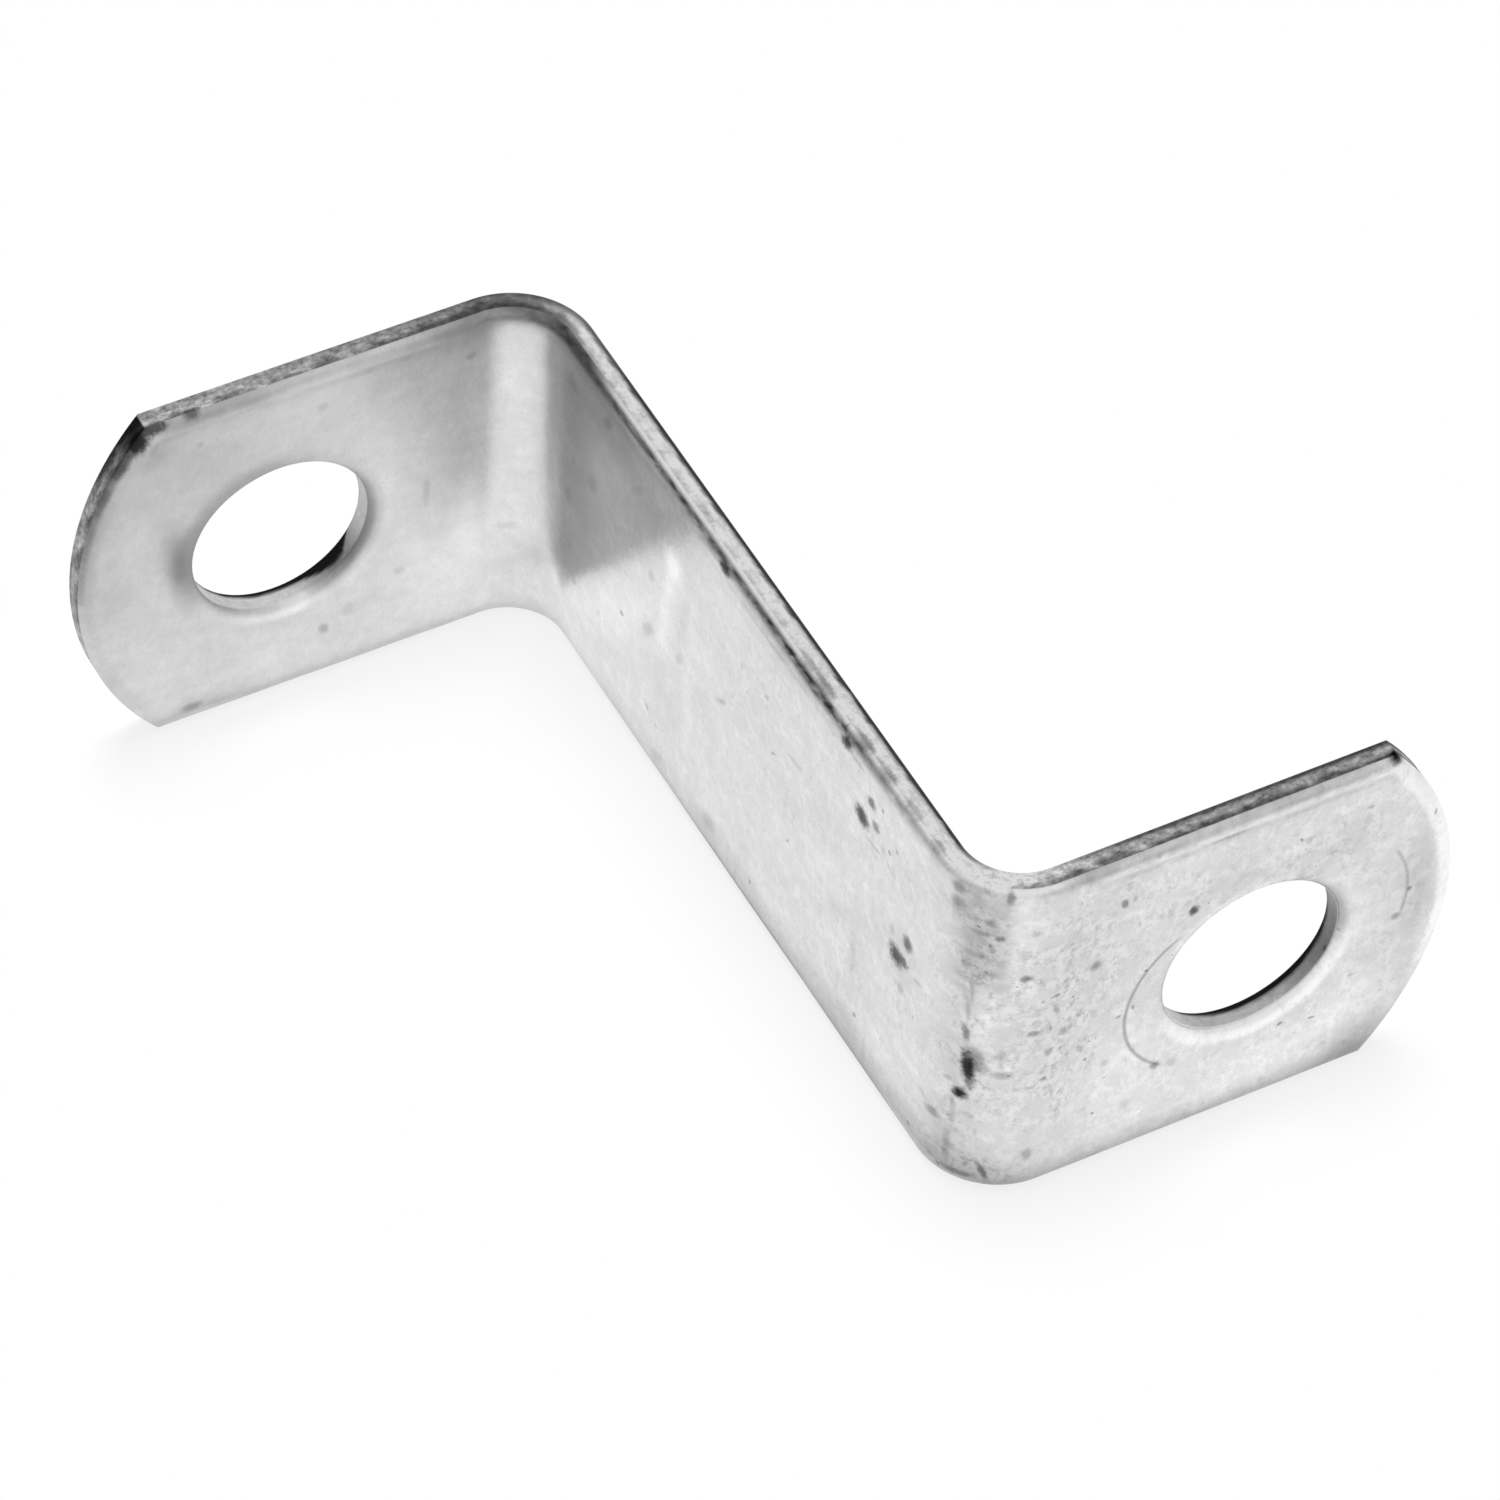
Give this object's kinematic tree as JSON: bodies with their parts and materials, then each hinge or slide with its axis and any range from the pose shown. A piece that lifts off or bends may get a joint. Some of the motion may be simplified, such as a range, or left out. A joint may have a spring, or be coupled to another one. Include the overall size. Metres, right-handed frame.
{
  "type": "z bracket",
  "caption": "Flat steel strip bent square twice into a Z, with a bolt hole in each round-ended flange, for joining two parallel faces at a set offset.",
  "frame": {"origin": "middle of the web, level with the lower long edge that the bracket stands on", "axes": "+Z across the strip's width, +X along the right flange towards its tip, +Y out of the back of both flanges"},
  "size_m": [0.0608, 0.055, 0.0254],
  "materials": {
    "zinc_coated_steel": "matt mottled zinc coating, scuffed, with bare sheared edges"
  },
  "bodies": {
    "root": {"z_bracket": "zinc_coated_steel"}
  },
  "joints": []
}
